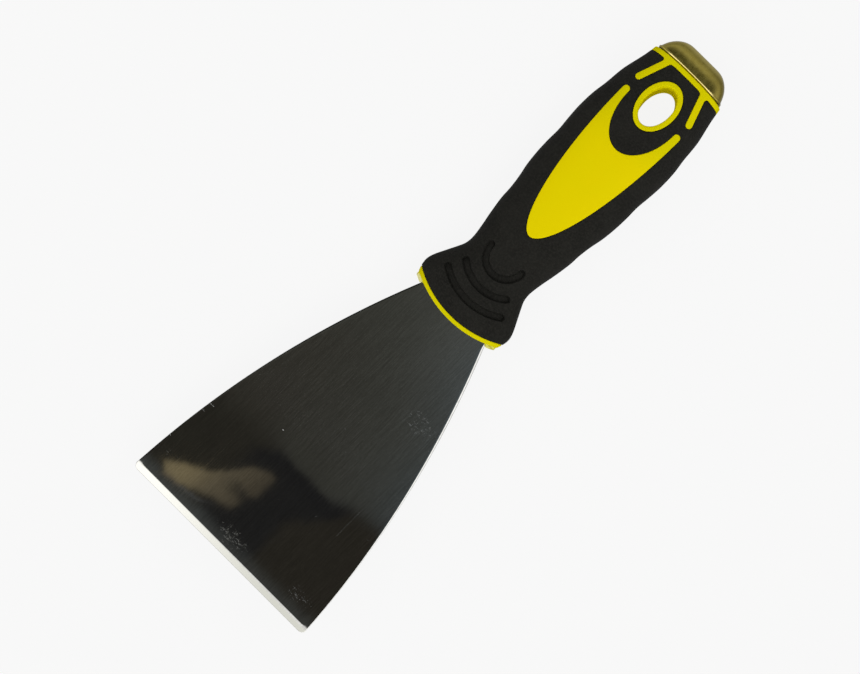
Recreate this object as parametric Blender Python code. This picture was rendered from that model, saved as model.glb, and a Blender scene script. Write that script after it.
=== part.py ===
"""Fan-bladed filling knife with a two-material handle and a pressed hammer cap.

Metres, +Z up. The origin is the middle of the working edge, on the blade's middle plane.
+Y runs along the tool to the butt, +X across it, and +Z out of its front face.
The handle is the same on its front and its back.
"""

import math

import bmesh
import bpy

MM = 0.001

# Blade
BLADE_WIDTH = 76.2 * MM
EDGE_CORNER_RADIUS = 1.8 * MM
SIDE_RADIUS = 311.0 * MM
SHOULDER_Y = 106.6 * MM
SHOULDER_HALF_WIDTH = 14.3 * MM
TANG_START_Y = 114.6 * MM
TANG_END_Y = 173.6 * MM
TANG_HALF_WIDTH = 7.5 * MM
TANG_CORNER_RADIUS = 3.0 * MM
KEY_HOLE_RADIUS = 2.5 * MM
KEY_HOLES_Y = (123.6 * MM, 143.6 * MM, 163.6 * MM)
EDGE_THICKNESS = 0.4 * MM
GROUND_WIDTH = 2.2 * MM
GROUND_THICKNESS = 0.9 * MM
STEEL_THICKNESS = 1.5 * MM

# Handle form: y, half width, half thickness, squareness of the section
HANDLE_STATIONS = (
    (99.6 * MM, 13.8 * MM, 6.2 * MM, 2.6),
    (108.1 * MM, 17.6 * MM, 6.9 * MM, 2.6),
    (112.1 * MM, 18.6 * MM, 7.2 * MM, 2.6),
    (119.6 * MM, 15.85 * MM, 7.5 * MM, 2.6),
    (127.6 * MM, 13.0 * MM, 7.9 * MM, 2.5),
    (137.6 * MM, 14.5 * MM, 8.7 * MM, 2.5),
    (147.6 * MM, 15.65 * MM, 9.6 * MM, 2.5),
    (158.6 * MM, 17.4 * MM, 10.5 * MM, 2.5),
    (169.6 * MM, 17.8 * MM, 11.1 * MM, 2.6),
    (181.6 * MM, 18.55 * MM, 11.4 * MM, 2.7),
    (196.6 * MM, 17.35 * MM, 11.0 * MM, 3.0),
    (205.6 * MM, 15.7 * MM, 10.3 * MM, 3.3),
    (212.5 * MM, 14.3 * MM, 9.6 * MM, 3.5),
    (216.6 * MM, 13.6 * MM, 9.2 * MM, 3.5),
)
HANDLE_END_Y = 212.5 * MM
REAR_RADIUS = 200.0 * MM
SECTION_STEPS = 32
SECTION_PITCH = 4.5 * MM

# Hard core
COLLAR_Y = 103.9 * MM
COLLAR_RADIUS = 37.5 * MM
COLLAR_WIDTH = 1.5 * MM
BAND_WIDTH = 1.7 * MM
SKIN = 2.3 * MM

PANEL_TIP_Y = 140.4 * MM
PANEL_END_Y = 196.4 * MM
PANEL_HALF_WIDTH = 12.5 * MM
PANEL_POWER = 1.9
BITE_TIP_Y = 179.1 * MM
BITE_HALF_WIDTH = 10.0 * MM

RING_Y = 198.05 * MM
RING_OUTER = (6.6 * MM, 9.15 * MM)
RING_BORE = (4.8 * MM, 7.5 * MM)
RING_PROUD = 0.25 * MM

BAR_WIDTH = 2.05 * MM
BAR_START = (10.9 * MM, 200.7 * MM)
BAR_END = (7.3 * MM, 211.9 * MM)

# Soft grip: y of the middle, half span and y of the ends of each thumb groove
THUMB_GROOVES = (
    (112.4 * MM, 11.9 * MM, 116.0 * MM),
    (117.9 * MM, 9.1 * MM, 121.3 * MM),
    (123.9 * MM, 6.8 * MM, 130.4 * MM),
)
GROOVE_WIDTH = 2.2 * MM
GROOVE_DEPTH = 0.5 * MM

# End cap
CAP_LIP_Y = 212.8 * MM
CAP_END_Y = 220.2 * MM
CAP_LIP_SIZE = (13.6 * MM, 8.9 * MM)
CAP_END_SIZE = (6.4 * MM, 4.6 * MM)
CAP_ROUNDING = 1.25
CAP_SQUARENESS = 4.0
CAP_WALL = 1.0 * MM
CAP_STEPS = 7
SPIGOT_START_Y = 207.6 * MM

GAP = 0.3 * MM
REACH = 30.0 * MM
WELD = 0.001 * MM
COLLECTION = "filling_knife"


# Scene and materials


def clear_scene():
    for old in list(bpy.data.objects):
        bpy.data.objects.remove(old, do_unlink=True)


def new_collection(name):
    collection = bpy.data.collections.new(name)
    bpy.context.scene.collection.children.link(collection)
    return collection


def new_material(name, color, roughness, metallic):
    material = bpy.data.materials.new(name)
    material.use_nodes = True
    shader = material.node_tree.nodes["Principled BSDF"]
    shader.inputs["Base Color"].default_value = (*color, 1.0)
    shader.inputs["Roughness"].default_value = roughness
    shader.inputs["Metallic"].default_value = metallic
    return material


def new_object(name, mesh, collection):
    made = bpy.data.objects.new(name, mesh)
    collection.objects.link(made)
    return made


def as_cutter(cutter):
    cutter.hide_render = True
    cutter.display_type = "WIRE"
    return cutter


def boolean(target, operation, other):
    modifier = target.modifiers.new(f"{operation.lower()} {other.name}", "BOOLEAN")
    modifier.operation = operation
    modifier.object = other
    modifier.solver = "EXACT"


def finish_part(part, material):
    part.data.materials.clear()
    part.data.materials.append(material)
    part.data.shade_smooth()
    part.data.set_sharp_from_angle(angle=math.radians(30))


# Plan outlines, as lists of (x, y)


def arc(centre, radius, start, end, steps):
    """Points on a circle from one angle to the other, both included."""
    points = []
    for step in range(steps + 1):
        angle = start + (end - start) * step / steps
        x = centre[0] + radius * math.cos(angle)
        y = centre[1] + radius * math.sin(angle)
        points.append((x, y))
    return points


def ellipse(centre_y, half_x, half_y, steps):
    turn = 2 * math.pi / steps
    return [
        (half_x * math.cos(turn * step), centre_y + half_y * math.sin(turn * step))
        for step in range(steps)
    ]


def mirrored(right_half):
    """A closed outline from its half at +X, which runs from low to high y."""
    left_half = [(-x, y) for x, y in reversed(right_half) if x > WELD]
    return right_half + left_half


def grown(outline, distance):
    """The outline moved out by a distance, along the mean normal at each point."""
    count = len(outline)
    area = sum(
        outline[i - 1][0] * outline[i][1] - outline[i][0] * outline[i - 1][1]
        for i in range(count)
    )
    out = distance if area > 0 else -distance
    moved = []
    for i, (x, y) in enumerate(outline):
        before = outline[i - 1]
        after = outline[(i + 1) % count]
        first = unit(y - before[1], before[0] - x)
        second = unit(after[1] - y, x - after[0])
        stretch = 1 + first[0] * second[0] + first[1] * second[1]
        moved.append(
            (
                x + out * (first[0] + second[0]) / stretch,
                y + out * (first[1] + second[1]) / stretch,
            )
        )
    return moved


def unit(x, y):
    length = math.hypot(x, y)
    return x / length, y / length


def blade_outline():
    """Square working edge, sides on large arcs, shoulders and a round-cornered tang."""
    half = BLADE_WIDTH / 2
    corner = EDGE_CORNER_RADIUS
    points = arc((half - corner, corner), corner, -math.pi / 2, 0, 5)
    points += side_arc(points[-1], (SHOULDER_HALF_WIDTH, SHOULDER_Y), SIDE_RADIUS, 14)[1:]
    points.append((TANG_HALF_WIDTH, TANG_START_Y))
    corner = TANG_CORNER_RADIUS
    centre = (TANG_HALF_WIDTH - corner, TANG_END_Y - corner)
    points += arc(centre, corner, 0, math.pi / 2, 4)
    return mirrored(points)


def side_arc(start, end, radius, steps):
    """Arc of a given radius between two points, bulging towards +X."""
    middle = ((start[0] + end[0]) / 2, (start[1] + end[1]) / 2)
    chord = (end[0] - start[0], end[1] - start[1])
    half_chord = math.hypot(*chord) / 2
    inward = unit(-chord[1], chord[0])
    away = math.sqrt(radius**2 - half_chord**2)
    centre = (middle[0] + inward[0] * away, middle[1] + inward[1] * away)
    first = math.atan2(start[1] - centre[1], start[0] - centre[0])
    last = math.atan2(end[1] - centre[1], end[0] - centre[0])
    return arc(centre, radius, first, last, steps)


def panel_outline():
    """A long leaf with its wide end bitten out, which leaves two round-ended horns."""
    horn = (PANEL_HALF_WIDTH - BITE_HALF_WIDTH) / 2
    horn_y = PANEL_END_Y - horn
    points = []
    for step in range(17):
        angle = math.pi / 2 * step / 16
        x = PANEL_HALF_WIDTH * math.sin(angle) ** (2 / PANEL_POWER)
        y = horn_y - (horn_y - PANEL_TIP_Y) * math.cos(angle) ** (2 / PANEL_POWER)
        points.append((x, y))
    points += arc((PANEL_HALF_WIDTH - horn, horn_y), horn, 0, math.pi, 6)[1:]
    for step in range(1, 13):
        angle = math.pi / 2 * step / 12
        x = BITE_HALF_WIDTH * math.cos(angle)
        y = horn_y - (horn_y - BITE_TIP_Y) * math.sin(angle)
        points.append((x, y))
    return mirrored(points)


def bar_outline(side):
    """A bar that leans in towards the butt, with a round end; its far end is in the band."""
    along = unit(BAR_END[0] - BAR_START[0], BAR_END[1] - BAR_START[1])
    lean = math.atan2(along[1], along[0])
    half = BAR_WIDTH / 2
    points = arc(BAR_START, half, lean + math.pi / 2, lean + 3 * math.pi / 2, 6)
    points += [
        (BAR_END[0] + along[1] * half, BAR_END[1] - along[0] * half),
        (BAR_END[0] - along[1] * half, BAR_END[1] + along[0] * half),
    ]
    return [(side * x, y) for x, y in points]


def groove_outline(groove):
    """A bar bent along an arc that opens towards the butt, with round ends."""
    middle_y, half_span, end_y = groove
    rise = end_y - middle_y
    radius = (half_span**2 + rise**2) / (2 * rise)
    spread = math.atan2(half_span, radius - rise)
    half = GROOVE_WIDTH / 2
    low = -math.pi / 2
    centre = (0, middle_y + radius)
    end = (half_span, end_y)
    points = arc(centre, radius + half, low, low + spread, 7)
    points += arc(end, half, low + spread, low + spread + math.pi, 5)[1:-1]
    points += arc(centre, radius - half, low + spread, low, 7)
    return mirrored(points)


def plan_outline(front_radius, rear_y):
    """Plan with the collar's round front, at a radius about its centre, and a rear that bulges."""
    spread = math.radians(60)
    centre = (0, COLLAR_Y + COLLAR_RADIUS)
    points = arc(centre, front_radius, -math.pi / 2, -math.pi / 2 + spread, 14)
    rear_spread = math.asin(points[-1][0] / REAR_RADIUS)
    centre = (0, rear_y - REAR_RADIUS)
    points += arc(centre, REAR_RADIUS, math.pi / 2 - rear_spread, math.pi / 2, 8)
    return mirrored(points)


# Solids


def plate(name, outlines, half_height, collection):
    """Flat outlines filled and given a thickness; an outline inside another is a hole."""
    curve = bpy.data.curves.new(name, "CURVE")
    curve.dimensions = "2D"
    curve.fill_mode = "BOTH"
    curve.extrude = half_height
    for outline in outlines:
        spline = curve.splines.new("POLY")
        spline.points.add(len(outline) - 1)
        for point, (x, y) in zip(spline.points, outline):
            point.co = (x, y, 0, 1)
        spline.use_cyclic_u = True
    return solid_from_curve(name, curve, collection)


def solid_from_curve(name, curve, collection):
    drawn = new_object(f"{name} curve", curve, collection)
    bpy.context.view_layer.update()
    graph = bpy.context.evaluated_depsgraph_get()
    mesh = bpy.data.meshes.new_from_object(drawn.evaluated_get(graph))
    weld = bmesh.new()
    weld.from_mesh(mesh)
    bmesh.ops.remove_doubles(weld, verts=weld.verts, dist=WELD)
    bmesh.ops.recalc_face_normals(weld, faces=weld.faces)
    weld.to_mesh(mesh)
    weld.free()
    made = new_object(name, mesh, collection)
    made.matrix_world = drawn.matrix_world
    bpy.data.objects.remove(drawn, do_unlink=True)
    return made


def loft(name, sections, collection):
    """Skin over sections of equal point count, with flat ends."""
    mesh = bmesh.new()
    rings = [[mesh.verts.new(point) for point in section] for section in sections]
    for low, high in zip(rings, rings[1:]):
        for i in range(len(low)):
            mesh.faces.new((low[i - 1], low[i], high[i], high[i - 1]))
    mesh.faces.new(rings[0])
    mesh.faces.new(rings[-1])
    bmesh.ops.recalc_face_normals(mesh, faces=mesh.faces)
    data = bpy.data.meshes.new(name)
    mesh.to_mesh(data)
    mesh.free()
    return new_object(name, data, collection)


def section(half_width, half_thickness, squareness, y):
    """Superellipse across the tool at y, at even angles that straddle the two axes."""
    points = []
    for step in range(SECTION_STEPS):
        angle = 2 * math.pi * (step + 0.5) / SECTION_STEPS
        across = math.cos(angle)
        up = math.sin(angle)
        size = abs(across / half_width) ** squareness
        size += abs(up / half_thickness) ** squareness
        radius = size ** (-1 / squareness)
        points.append((radius * across, y, radius * up))
    return points


def handle_size(y):
    """Half width, half thickness and squareness at y, smooth through the stations."""
    last = len(HANDLE_STATIONS) - 1
    i = 0
    while i < last - 1 and y > HANDLE_STATIONS[i + 1][0]:
        i += 1
    low, high = HANDLE_STATIONS[i], HANDLE_STATIONS[i + 1]
    before = HANDLE_STATIONS[max(i - 1, 0)]
    after = HANDLE_STATIONS[min(i + 2, last)]
    span = high[0] - low[0]
    t = (y - low[0]) / span
    sizes = []
    for column in (1, 2, 3):
        slope_low = (high[column] - before[column]) / (high[0] - before[0]) * span
        slope_high = (after[column] - low[column]) / (after[0] - low[0]) * span
        value = (2 * t**3 - 3 * t**2 + 1) * low[column] + (t**3 - 2 * t**2 + t) * slope_low
        value += (3 * t**2 - 2 * t**3) * high[column] + (t**3 - t**2) * slope_high
        sizes.append(value)
    return sizes


def handle_form(name, inset, collection):
    """The handle's outer form, or the same form moved in by an inset."""
    start = HANDLE_STATIONS[0][0]
    end = HANDLE_STATIONS[-1][0]
    steps = round((end - start) / SECTION_PITCH)
    sections = []
    for step in range(steps + 1):
        y = start + (end - start) * step / steps
        half_width, half_thickness, squareness = handle_size(y)
        sections.append(section(half_width - inset, half_thickness - inset, squareness, y))
    return loft(name, sections, collection)


def cap_sections(inset):
    """Sections from the cap's lip round to its flat end, moved in by an inset."""
    sections = []
    for step in range(CAP_STEPS + 1):
        turn = math.pi / 2 * step / CAP_STEPS
        out = math.cos(turn) ** CAP_ROUNDING
        along = math.sin(turn) ** CAP_ROUNDING
        half_width = CAP_END_SIZE[0] + (CAP_LIP_SIZE[0] - CAP_END_SIZE[0]) * out
        half_thickness = CAP_END_SIZE[1] + (CAP_LIP_SIZE[1] - CAP_END_SIZE[1]) * out
        y = CAP_LIP_Y + (CAP_END_Y - CAP_LIP_Y - inset) * along
        half_size = (half_width - inset, half_thickness - inset)
        sections.append(section(*half_size, CAP_SQUARENESS, y))
    return sections


def cap_form(name, inset, collection):
    """The cap's form moved in by an inset, running on into the handle from the cap's lip."""
    sections = cap_sections(inset)
    root = [(x, SPIGOT_START_Y, z) for x, y, z in sections[0]]
    return loft(name, [root] + sections, collection)


def ring_face_z(y):
    """Height of the hanging ring's flat face, which follows the handle's slope."""
    step = RING_OUTER[1]
    slope = (handle_size(RING_Y + step)[1] - handle_size(RING_Y - step)[1]) / (2 * step)
    return handle_size(RING_Y)[1] + RING_PROUD + slope * (y - RING_Y)


def ring_boss(name, collection):
    """Elliptic post through the handle, with flat ends that follow its front and back."""
    outline = ellipse(RING_Y, *RING_OUTER, 32)
    back = [(x, y, -ring_face_z(y)) for x, y in outline]
    front = [(x, y, ring_face_z(y)) for x, y in outline]
    return loft(name, (back, front), collection)


# Pieces


def blade_solid(name, grow, collection, cutters):
    """Plan outline with its keying holes, crossed with the thickness seen from the side."""
    outlines = [grown(blade_outline(), grow)]
    for y in KEY_HOLES_Y:
        outlines.append(ellipse(y, KEY_HOLE_RADIUS - grow, KEY_HOLE_RADIUS - grow, 16))
    solid = plate(name, outlines, STEEL_THICKNESS, collection)
    lower_side = [
        (0, -EDGE_THICKNESS / 2),
        (GROUND_WIDTH, -GROUND_THICKNESS / 2),
        (SHOULDER_Y, -STEEL_THICKNESS / 2),
        (TANG_END_Y + REACH, -STEEL_THICKNESS / 2),
    ]
    profile = grown(lower_side + [(y, -z) for y, z in reversed(lower_side)], grow)
    thickness = as_cutter(plate(f"{name} thickness", [profile], BLADE_WIDTH, cutters))
    thickness.rotation_euler = (math.pi / 2, 0, math.pi / 2)
    boolean(solid, "INTERSECT", thickness)
    return solid


def grip_space(name, gap, cutters):
    """The room outside the hard core that the soft grip fills, drawn in by a gap all round."""
    rear_y = HANDLE_END_Y - BAND_WIDTH - gap
    plan = plan_outline(COLLAR_RADIUS - COLLAR_WIDTH - gap, rear_y)
    space = as_cutter(plate(name, [plan], REACH, cutters))
    inner = handle_form(f"{name} core", SKIN - gap, cutters)
    panel = plate(f"{name} panel", [grown(panel_outline(), gap)], 2 * REACH, cutters)
    outlines = [grown(bar_outline(side), gap) for side in (1, -1)]
    bars = plate(f"{name} bars", outlines, 2 * REACH, cutters)
    for window in (inner, panel, bars):
        boolean(space, "DIFFERENCE", as_cutter(window))
    return space


def make_handle_core(collection, cutters):
    """One moulding: collar, inner body, panels, ring, bars, band and the cap's spigot."""
    core = handle_form("handle_core", 0, collection)
    plan = plan_outline(COLLAR_RADIUS, HANDLE_END_Y)
    boolean(core, "INTERSECT", as_cutter(plate("handle plan", [plan], REACH, cutters)))
    boolean(core, "DIFFERENCE", grip_space("core space", 0, cutters))
    boolean(core, "UNION", as_cutter(ring_boss("ring boss", cutters)))
    boolean(core, "UNION", as_cutter(cap_form("spigot", CAP_WALL + GAP, cutters)))
    bore = as_cutter(plate("ring bore", [ellipse(RING_Y, *RING_BORE, 32)], REACH, cutters))
    boolean(core, "DIFFERENCE", bore)
    pocket = as_cutter(blade_solid("tang pocket", GAP, cutters, cutters))
    boolean(core, "DIFFERENCE", pocket)
    finish_part(core, new_material("yellow plastic", (0.72, 0.62, 0.0), 0.38, 0.0))


def groove_space(cutters):
    """The room of the thumb grooves, outside the handle's form moved in by their depth."""
    outlines = [groove_outline(groove) for groove in THUMB_GROOVES]
    space = as_cutter(plate("groove space", outlines, REACH, cutters))
    floor = as_cutter(handle_form("groove floor", GROOVE_DEPTH, cutters))
    boolean(space, "DIFFERENCE", floor)
    return space


def make_soft_grip(collection, cutters):
    """The soft skin over the core, with its windows and thumb grooves."""
    grip = handle_form("soft_grip", 0, collection)
    boolean(grip, "INTERSECT", grip_space("grip space", GAP, cutters))
    size = [half + GAP for half in RING_OUTER]
    ring = plate("ring window", [ellipse(RING_Y, *size, 32)], REACH, cutters)
    boolean(grip, "DIFFERENCE", as_cutter(ring))
    boolean(grip, "DIFFERENCE", groove_space(cutters))
    finish_part(grip, new_material("black rubber", (0.018, 0.018, 0.016), 0.8, 0.0))


def make_end_cap(collection, cutters):
    """A pressed cup over the core's spigot, its lip parallel with the band."""
    cap = cap_form("end_cap", 0, collection)
    plan = plan_outline(COLLAR_RADIUS, CAP_LIP_Y)
    boolean(cap, "DIFFERENCE", as_cutter(plate("cap front", [plan], REACH, cutters)))
    boolean(cap, "DIFFERENCE", as_cutter(cap_form("cap hollow", CAP_WALL, cutters)))
    finish_part(cap, new_material("brass plate", (0.40, 0.34, 0.12), 0.3, 1.0))


def make_blade(collection, cutters):
    blade = blade_solid("blade", 0, collection, cutters)
    finish_part(blade, new_material("stainless steel", (0.56, 0.55, 0.53), 0.25, 1.0))


def main():
    clear_scene()
    parts = new_collection(COLLECTION)
    cutters = new_collection("cutters")
    cutters.hide_render = True
    make_blade(parts, cutters)
    make_handle_core(parts, cutters)
    make_soft_grip(parts, cutters)
    make_end_cap(parts, cutters)


main()
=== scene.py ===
"""Looks of the filling knife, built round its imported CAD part.

Shapes are worked out in millimetres in the row frame and scaled to metres when a mesh is made.
The handle is drawn as a quarter, on its skin unrolled as (turn from +X towards +Z, y), and
mirrored twice, so its front and its back are the same.
"""

import math

import bmesh
import bpy
import numpy as np
from mathutils import Matrix, Vector, kdtree
from mathutils.geometry import delaunay_2d_cdt


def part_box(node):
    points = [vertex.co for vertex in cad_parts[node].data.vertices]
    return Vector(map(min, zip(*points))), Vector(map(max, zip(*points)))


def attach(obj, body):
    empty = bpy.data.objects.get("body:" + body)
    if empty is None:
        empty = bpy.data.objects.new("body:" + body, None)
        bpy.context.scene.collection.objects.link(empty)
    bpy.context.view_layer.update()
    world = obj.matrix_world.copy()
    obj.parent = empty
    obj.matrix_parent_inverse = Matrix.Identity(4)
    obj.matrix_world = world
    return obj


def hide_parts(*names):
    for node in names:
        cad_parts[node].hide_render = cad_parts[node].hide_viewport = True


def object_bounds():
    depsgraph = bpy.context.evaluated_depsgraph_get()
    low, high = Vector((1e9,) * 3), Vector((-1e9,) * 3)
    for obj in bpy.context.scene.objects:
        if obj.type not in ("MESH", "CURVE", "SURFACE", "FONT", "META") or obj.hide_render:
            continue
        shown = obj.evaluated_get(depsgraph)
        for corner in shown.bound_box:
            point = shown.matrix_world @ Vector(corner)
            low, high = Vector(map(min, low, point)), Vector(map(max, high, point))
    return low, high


MM = 0.001
WELD = 0.002 * MM

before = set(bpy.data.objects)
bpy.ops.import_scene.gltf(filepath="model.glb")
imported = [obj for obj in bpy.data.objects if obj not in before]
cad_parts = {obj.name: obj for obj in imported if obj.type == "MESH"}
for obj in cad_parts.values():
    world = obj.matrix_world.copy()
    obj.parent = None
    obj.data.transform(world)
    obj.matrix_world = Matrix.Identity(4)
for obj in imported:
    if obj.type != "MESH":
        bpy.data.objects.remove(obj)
cad_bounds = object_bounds()


def box_mm(node):
    low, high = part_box(node)
    return np.array(low) / MM, np.array(high) / MM


BLADE_BOX = box_mm("blade")
CORE_BOX = box_mm("handle_core")
GRIP_BOX = box_mm("soft_grip")
CAP_BOX = box_mm("end_cap")

# Handle form: y from the collar's front, half width, half thickness, squareness of the section
COLLAR_Y = CORE_BOX[0][1]
STATIONS = np.array((
    (-4.3, 13.8, 6.2, 2.6),
    (4.2, 17.5, 6.9, 2.6),
    (8.2, 18.55, 7.2, 2.6),
    (11.0, 18.05, 7.3, 2.6),
    (15.7, 15.8, 7.5, 2.6),
    (18.7, 14.3, 7.65, 2.55),
    (21.2, 13.2, 7.75, 2.55),
    (24.2, 12.9, 7.95, 2.5),
    (28.7, 13.5, 8.3, 2.5),
    (33.7, 14.45, 8.7, 2.5),
    (39.7, 15.35, 9.25, 2.5),
    (43.7, 15.55, 9.6, 2.5),
    (48.2, 16.15, 10.0, 2.5),
    (52.7, 17.05, 10.35, 2.5),
    (57.7, 17.6, 10.7, 2.5),
    (62.7, 17.8, 10.95, 2.55),
    (67.7, 17.75, 11.2, 2.6),
    (72.7, 18.2, 11.35, 2.65),
    (77.7, 18.5, 11.4, 2.7),
    (83.7, 18.3, 11.3, 2.8),
    (88.7, 17.6, 11.15, 2.9),
    (95.7, 16.9, 10.8, 3.1),
    (101.7, 15.55, 10.3, 3.3),
    (104.7, 14.9, 10.0, 3.4),
    (108.6, 14.3, 9.6, 3.5),
    (112.7, 13.6, 9.2, 3.5),
))
STATIONS[:, 0] += COLLAR_Y
STATIONS[:, 1] *= GRIP_BOX[1][0] / STATIONS[:, 1].max()
STATIONS[:, 2] *= GRIP_BOX[1][2] / STATIONS[:, 2].max()

# The unrolled skin: millimetres to a radian of turn, where a face's middle line (x = 0) lies,
# the pitch of its grid, how far grid points stay from the rows, a y past the whole tool, and the
# rounds in which a row is fitted to the skin
UNROLLED = 13.0
QUARTER_TURN = math.pi / 2
MIDDLE = QUARTER_TURN * UNROLLED
GRID_PITCH = 0.9
GRID_CLEARANCE = 0.4
FAR_Y = 400.0
FIT_ROUNDS = 30

# Collar and rear band, whose edges are arcs in plan
COLLAR_RADIUS = 37.5
COLLAR_CENTRE_Y = COLLAR_Y + COLLAR_RADIUS
COLLAR_WIDTH = 1.3
REAR_RADIUS = 200.0
REAR_Y = CAP_BOX[0][1] + 0.17
BAND_WIDTH = 1.7

# Half the gap between the two plastics, and how deep the core's floor and the grip's underside lie
SEAM = 0.05
SKIN = 2.3
GRIP_DEPTH = 2.2

# Panel, ring and bars
PANEL_TIP_Y = COLLAR_Y + 36.5
PANEL_END_Y = COLLAR_Y + 92.5
PANEL_HALF_WIDTH = 12.5
PANEL_POWER = 1.9
BITE_TIP_Y = COLLAR_Y + 75.2
BITE_HALF_WIDTH = 10.0
RING_Y = COLLAR_Y + 94.15
RING_OUTER = (6.6, 9.15)
RING_BORE = (4.8, 7.5)
RING_PROUD = 0.25
RING_STEPS = 64
BAR_HALF_WIDTH = 1.15
BAR_START = (11.2, COLLAR_Y + 96.9)
BAR_END = (7.3, COLLAR_Y + 108.0)
BAR_FILLET = 0.8
BAR_ROOT_X = 9.0
SEAM_CORNER_X = 12.6
CHAIN_PITCH = 0.6

# Thumb grooves: y of the middle, half span and y of the ends
GROOVES = (
    (COLLAR_Y + 8.4, 11.9, COLLAR_Y + 12.1),
    (COLLAR_Y + 14.0, 9.1, COLLAR_Y + 17.4),
    (COLLAR_Y + 19.9, 6.8, COLLAR_Y + 26.5),
)
GROOVE_HALF_WIDTH = 1.25
GROOVE_DEPTH = 0.9
GROOVE_SLOPE = (-0.33, 0.1)
GROOVE_ROWS = (-0.45, -0.33, -0.22, -0.12, -0.02, 0.08, 0.2)

# Rounded edges: their radii, and the distances of the rows that carry them
GRIP_LIP = 0.3
CORE_LIP = 0.2
BORE_LIP = 0.45
GRIP_ROWS = (0.0, 0.03, 0.08, 0.15, 0.22, 0.31)
CORE_ROWS = (0.0, 0.02, 0.06, 0.12, 0.21)
BORE_ROWS = (0.0, 0.04, 0.1, 0.2, 0.35, 0.5)

# Moulding flash beside the blade: where it starts, is full and ends, and how far it stands out
FLASH_START = (13.6, 15.0)
FLASH_END = (17.2, 18.6)
FLASH_HEIGHT = (0.9, 2.6)
FLASH_REACH = 1.2


# Handle form


def columns(*parts):
    """Points from arrays of their coordinates."""
    return np.column_stack(parts)


def smooth(low, high, value):
    """0 below low, 1 above high, and an eased step between."""
    share = np.clip((value - low) / (high - low), 0, 1)
    return share * share * (3 - 2 * share)


def handle_size(y):
    """Half width, half thickness and squareness at each y, smooth through the stations."""
    y = np.atleast_1d(np.asarray(y, float))
    last = len(STATIONS) - 1
    i = np.clip(np.searchsorted(STATIONS[:, 0], y) - 1, 0, last - 1)
    before = STATIONS[np.maximum(i - 1, 0)]
    low = STATIONS[i]
    high = STATIONS[i + 1]
    after = STATIONS[np.minimum(i + 2, last)]
    span = high[:, :1] - low[:, :1]
    t = (y[:, None] - low[:, :1]) / span
    slope_low = (high - before) / (high[:, :1] - before[:, :1]) * span
    slope_high = (after - low) / (after[:, :1] - low[:, :1]) * span
    value = (2 * t**3 - 3 * t**2 + 1) * low + (t**3 - 2 * t**2 + t) * slope_low
    value += (3 * t**2 - 2 * t**3) * high + (t**3 - t**2) * slope_high
    return value[:, 1], value[:, 2], value[:, 3]


def section(turn, half_x, half_z, power):
    """x and z, at turns, of a section between an ellipse (power 2) and a box."""
    across = np.cos(turn)
    up = np.sin(turn)
    radius = (np.abs(across / half_x) ** power + np.abs(up / half_z) ** power) ** (-1 / power)
    return radius * across, radius * up


def skin(turn, y):
    """Points of the handle's outer form."""
    x, z = section(turn, *handle_size(y))
    return np.stack([x, np.broadcast_to(y, x.shape), z], axis=-1)


def snapped(points, turn):
    """Points with exact zeros where their turn is on a mirror plane."""
    points[np.abs(turn - QUARTER_TURN) < 1e-7, 0] = 0
    points[np.abs(turn) < 1e-7, 2] = 0
    return points


def skin_normal(turn, y):
    step = 1e-4
    along_turn = skin(turn + step, y) - skin(turn - step, y)
    along_y = skin(turn, y + 10 * step) - skin(turn, y - 10 * step)
    normal = np.cross(along_y, along_turn)
    return normal / np.linalg.norm(normal, axis=1)[:, None]


def lifted(domain, height):
    """Points of the form at unrolled places, moved out by one height or by a height each."""
    turn = domain[:, 0] / UNROLLED
    y = domain[:, 1]
    return snapped(skin(turn, y) + skin_normal(turn, y) * np.asarray(height)[..., None], turn)


def unrolled(plan):
    """Unrolled places of points given by their x and y."""
    a, b, power = handle_size(plan[:, 1])
    share = np.clip(plan[:, 0] / a, 0, 1)
    z = b * (1 - share**power) ** (1 / power)
    return columns(np.arctan2(z, plan[:, 0]) * UNROLLED, plan[:, 1])


def in_plan(domain):
    """Plan points of unrolled places."""
    return skin(domain[:, 0] / UNROLLED, domain[:, 1])[:, :2]


def on_ring_face(domain, drop):
    """Points at a depth below the hanging ring's flat face, which follows the handle's slope."""
    step = RING_OUTER[1]
    thickness = handle_size([RING_Y - step, RING_Y, RING_Y + step])[1]
    slope = (thickness[2] - thickness[0]) / (2 * step)
    points = lifted(domain, 0)
    points[:, 2] = thickness[1] + RING_PROUD + slope * (domain[:, 1] - RING_Y) - drop
    return points


# Chains of plan points


def arc(centre, radius, start, end, steps):
    angle = np.linspace(start, end, steps + 1)
    x = centre[0] + radius * np.cos(angle)
    y = centre[1] + radius * np.sin(angle)
    return columns(x, y)


def straight(start, end, pitch):
    """A straight chain of points no closer than the pitch."""
    start = np.asarray(start, float)
    end = np.asarray(end, float)
    steps = max(1, int(np.linalg.norm(end - start) / pitch))
    share = np.linspace(0, 1, steps + 1)[:, None]
    return start + (end - start) * share


def joined(*chains):
    """One chain from several, without the doubled points where they meet."""
    points = np.concatenate(chains)
    step = np.linalg.norm(np.diff(points, axis=0), axis=1)
    return points[np.concatenate([[True], step > 1e-6])]


def chain_normals(chain):
    """Normals to the right of the way along a chain; at x = 0 they have no x part."""
    ahead = np.gradient(chain, axis=0)
    normals = columns(ahead[:, 1], -ahead[:, 0])
    for end in (0, -1):
        if abs(chain[end, 0]) < 1e-6:
            normals[end, 0] = 0
    return normals / np.linalg.norm(normals, axis=1)[:, None]


def moved(chain, distance):
    """A chain moved to its right by a distance."""
    return chain + chain_normals(chain) * distance


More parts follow.
